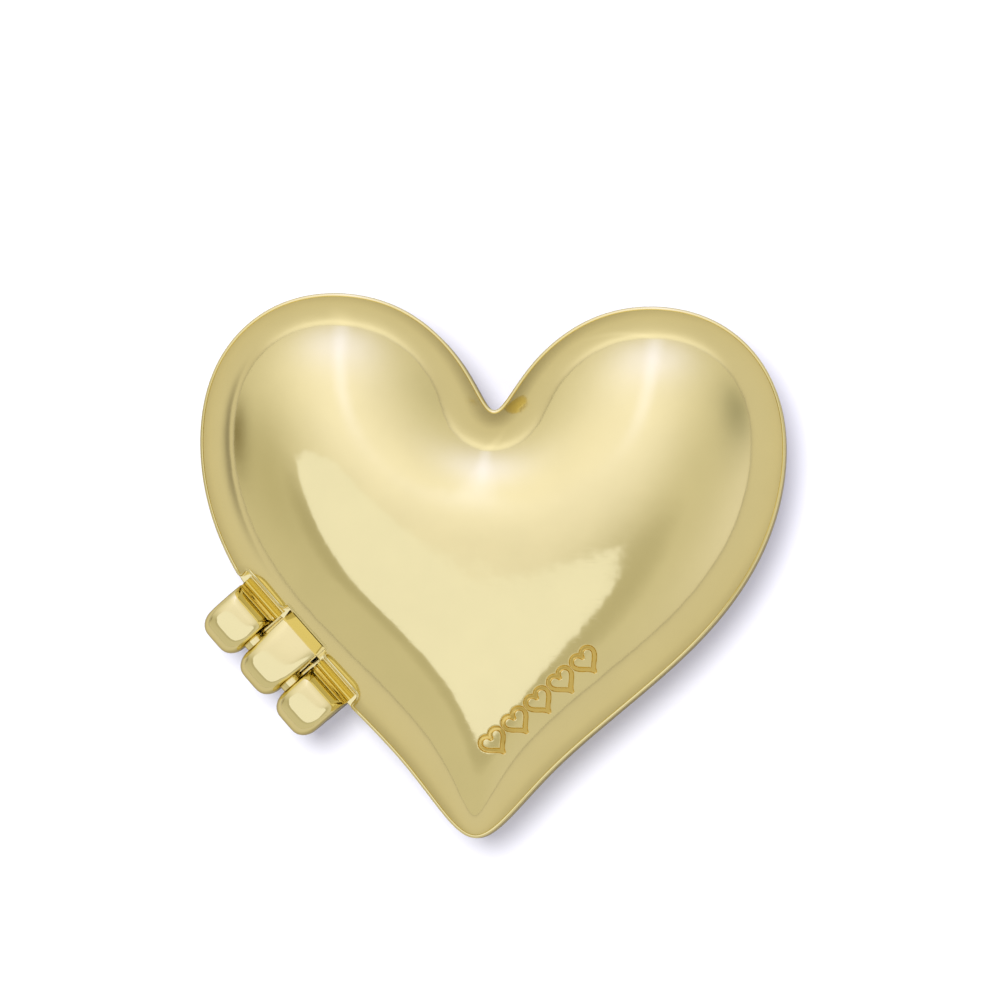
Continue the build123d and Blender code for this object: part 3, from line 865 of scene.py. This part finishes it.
# In reflections the paper is painted a darker tone, darker still under the painted shade; the camera sees the
# plain pale colour.
painted_mirror_tone = blend(paper_tree, shade, (0.45, 0.43, 0.385, 1), (0.077, 0.07, 0.062, 1))
paper_and_painted_tones = blend(paper_tree, by_camera, painted_mirror_tone, (0.74, 0.745, 0.78, 1))
paper_tree.links.new(paper_and_painted_tones, paper_shader.inputs["Base Color"])

floor_across, floor_ahead, _ = node(paper_tree, "ShaderNodeSeparateXYZ", [(0, spot)]).outputs
off_middle = reckon(paper_tree, "ABSOLUTE", reckon(paper_tree, "ADD", floor_across, 0.01))
slant = reckon(paper_tree, "DIVIDE", off_middle, reckon(paper_tree, "MAXIMUM", floor_ahead, 0.001))


def light_ahead(start, end, edge, core, strength):
    """Painted light on the floor that grows from start to end, in a wedge that fades from core to edge."""
    reach = carry(paper_tree, floor_ahead, start, end, 0.0, 1.0, "SMOOTHSTEP")
    wedge = carry(paper_tree, slant, edge, core, 0.0, strength, "SMOOTHSTEP")
    return reckon(paper_tree, "MULTIPLY", reach, wedge)


# A painted pool of light ahead of the charm, glowing only in reflections.
wide_light = light_ahead(0.015, 0.15, 1.3, 0.1, 0.4)
narrow_light = light_ahead(0.02, 0.06, 0.12, 0.0, 0.08)
painted_light_pool = reckon(paper_tree, "ADD", wide_light, narrow_light)
painted_light_pool = reckon(paper_tree, "MULTIPLY", painted_light_pool, reckon(paper_tree, "SUBTRACT", 1.0, by_camera))
# The camera sees only a faint even glow; the painted pool of light glows for reflections.
even_glow_and_painted_pool = reckon(paper_tree, "ADD", reckon(paper_tree, "MULTIPLY", by_camera, 0.05), painted_light_pool)
# The glow is tinted blue, which gives the floor's shadow a painted blue cast for the camera and tints the
# painted pool.
paper_shader.inputs["Emission Color"].default_value = (0.9, 0.93, 1.3, 1)
paper_tree.links.new(even_glow_and_painted_pool, paper_shader.inputs["Emission Strength"])
paper_shader.inputs["Roughness"].default_value = 0.9
paper_shader.inputs["Specular IOR Level"].default_value = 0.0
floor.data.materials.append(paper)

# --- Light tent ---
# The charm lies in a white tent with a flat panel over its front, soft lights in the cloth and a few dark
# cards.

world = bpy.data.worlds.new("studio")
bpy.context.scene.world = world
world.use_nodes = True
sky = world.node_tree
toward = node(sky, "ShaderNodeTexCoord").outputs["Generated"]
sky_across, sky_ahead, sky_up = node(sky, "ShaderNodeSeparateXYZ", [(0, toward)]).outputs


def direction(polar, bearing):
    """Unit vector from degrees off the vertical and degrees round from +X."""
    p, b = math.radians(polar), math.radians(bearing)
    return (math.sin(p) * math.cos(b), math.sin(p) * math.sin(b), math.cos(p))


def glow(polar, bearing, tightness):
    """Soft round light in the sky: 1 at its middle."""
    beam = [(0, toward), (1, direction(polar, bearing))]
    facing = node(sky, "ShaderNodeVectorMath", beam, operation="DOT_PRODUCT").outputs["Value"]
    off_beam = reckon(sky, "SUBTRACT", facing, 1.0)
    return reckon(sky, "EXPONENT", reckon(sky, "MULTIPLY", off_beam, tightness))


def lit(base, mask, colour):
    """Base colour plus a mask times a colour."""
    scaled = node(sky, "ShaderNodeVectorMath", [(0, colour), ("Scale", mask)], operation="SCALE").outputs[0]
    return node(sky, "ShaderNodeVectorMath", [(0, base), (1, scaled)], operation="ADD").outputs[0]


# Each light or dark card: degrees off the vertical, degrees round from +X, tightness and colour.
tent = node(sky, "ShaderNodeCombineXYZ", [(0, 0.66), (1, 0.63), (2, 0.58)]).outputs[0]
for polar, bearing, tightness, colour in (
    (50, 102, 3.2, (0.38, 0.38, 0.54)),
    (68, 92, 14.0, (0.12, 0.17, 0.78)),
    (13, 90, 10.0, (0.18, 0.19, 0.36)),
    (90, -14, 9.0, (0.17, 0.17, 0.30)),
    (78, 22, 22.0, (-0.27, -0.25, -0.26)),
    (58, 186, 14.0, (-0.14, -0.14, -0.18)),
    (88, 177, 45.0, (-0.38, -0.38, -0.41)),
):
    tent = lit(tent, glow(polar, bearing, tightness), colour)

# A thin bright slot between two sheets of the tent, straight ahead.
off_slot = reckon(sky, "ABSOLUTE", reckon(sky, "ADD", sky_across, 0.02))
slot_width = carry(sky, off_slot, 0.12, 0.0, 0.0, 1.0, "SMOOTHSTEP")
slot_height = carry(sky, sky_ahead, 0.2, 0.6, 0.0, 1.0, "SMOOTHSTEP")
tent = lit(tent, reckon(sky, "MULTIPLY", slot_width, slot_height), (0.08, 0.11, 0.38))

# The panel's corners, on a plane one unit overhead. Each edge is a straight cut, and a dark border hangs
# round the panel's lower sides.
PANEL = (
    (-0.78, 0.02), (-0.60, 0.10), (-0.27, 0.14), (0.37, -0.22), (0.62, -0.52), (0.98, -1.25), (-0.17, -0.93),
    (-0.86, -0.66),
)
HORIZON = 0.05
rise = reckon(sky, "MAXIMUM", sky_up, HORIZON)
across, ahead = reckon(sky, "DIVIDE", sky_across, rise), reckon(sky, "DIVIDE", sky_ahead, rise)
margin = None
for (x0, y0), (x1, y1) in zip(PANEL, PANEL[1:] + PANEL[:1]):
    run = math.hypot(x1 - x0, y1 - y0)
    nx, ny = (y1 - y0) / run, -(x1 - x0) / run
    lengthways = reckon(sky, "MULTIPLY_ADD", ahead, ny, -(nx * x0 + ny * y0))
    inside = reckon(sky, "MULTIPLY_ADD", across, nx, lengthways)
    margin = inside if margin is None else reckon(sky, "MINIMUM", margin, inside)

overhead = reckon(sky, "GREATER_THAN", sky_up, HORIZON)
panel = reckon(sky, "MULTIPLY", carry(sky, margin, -0.012, 0.012, 0.0, 1.0, "SMOOTHSTEP"), overhead)
hem = carry(sky, margin, -0.5, -0.1, 0.0, 1.0, "SMOOTHSTEP")
lower_side = carry(sky, ahead, 0.1, -0.35, 0.0, 1.0, "SMOOTHSTEP")
border = reckon(sky, "MULTIPLY", hem, lower_side)
tent = lit(tent, reckon(sky, "MULTIPLY", border, overhead), (-0.12, -0.12, -0.14))
over_tent = [("Factor", panel), (4, tent), (5, (0.99, 1.0, 1.21))]
final = node(sky, "ShaderNodeMix", over_tent, data_type="VECTOR").outputs[1]
sky.links.new(final, sky.nodes["Background"].inputs["Color"])
sky.nodes["Background"].inputs["Strength"].default_value = 1.0

# --- Key lamp ---
# A round soft box above and a little to the upper left, which throws the short shadow.

key_data = bpy.data.lights.new("key", "AREA")
key_data.shape = "DISK"
key_data.size = 0.15
key_data.energy = 7.5
key = bpy.data.objects.new("key", key_data)
bpy.context.scene.collection.objects.link(key)
key.location = Vector((-0.032, 0.038, 1.0))
key.rotation_euler = key.location.to_track_quat("Z", "Y").to_euler()
key.visible_glossy = False

# --- Camera ---
# It looks down on the cover from a little to the lower right, turned slightly, with the charm low in its
# frame.

TILT = math.radians(3.5)
SIDE = math.radians(-35)
TURN = math.radians(2.585)
DISTANCE = 0.5
FIELD_WIDTH = 51.1945 * MM
SENSOR_WIDTH = 36.0
AIM_RIGHT = 0.599 * MM
AIM_UP = 2.652 * MM
view = Vector((math.sin(TILT) * math.cos(SIDE), math.sin(TILT) * math.sin(SIDE), math.cos(TILT)))
right = Vector((-math.sin(TURN), math.cos(TURN), 0)).cross(view).normalized()
up = view.cross(right)
target = Vector((0, 0, (PARTING + 0.4) * MM)) + right * AIM_RIGHT + up * AIM_UP
lens_data = bpy.data.cameras.new("camera")
lens_data.sensor_width = SENSOR_WIDTH
lens_data.lens = SENSOR_WIDTH * DISTANCE / FIELD_WIDTH
lens_data.clip_start = 0.01
camera = bpy.data.objects.new("camera", lens_data)
bpy.context.scene.collection.objects.link(camera)
facing = Matrix((right, up, view)).transposed().to_4x4()
camera.matrix_world = Matrix.Translation(target + view * DISTANCE) @ facing
bpy.context.scene.camera = camera
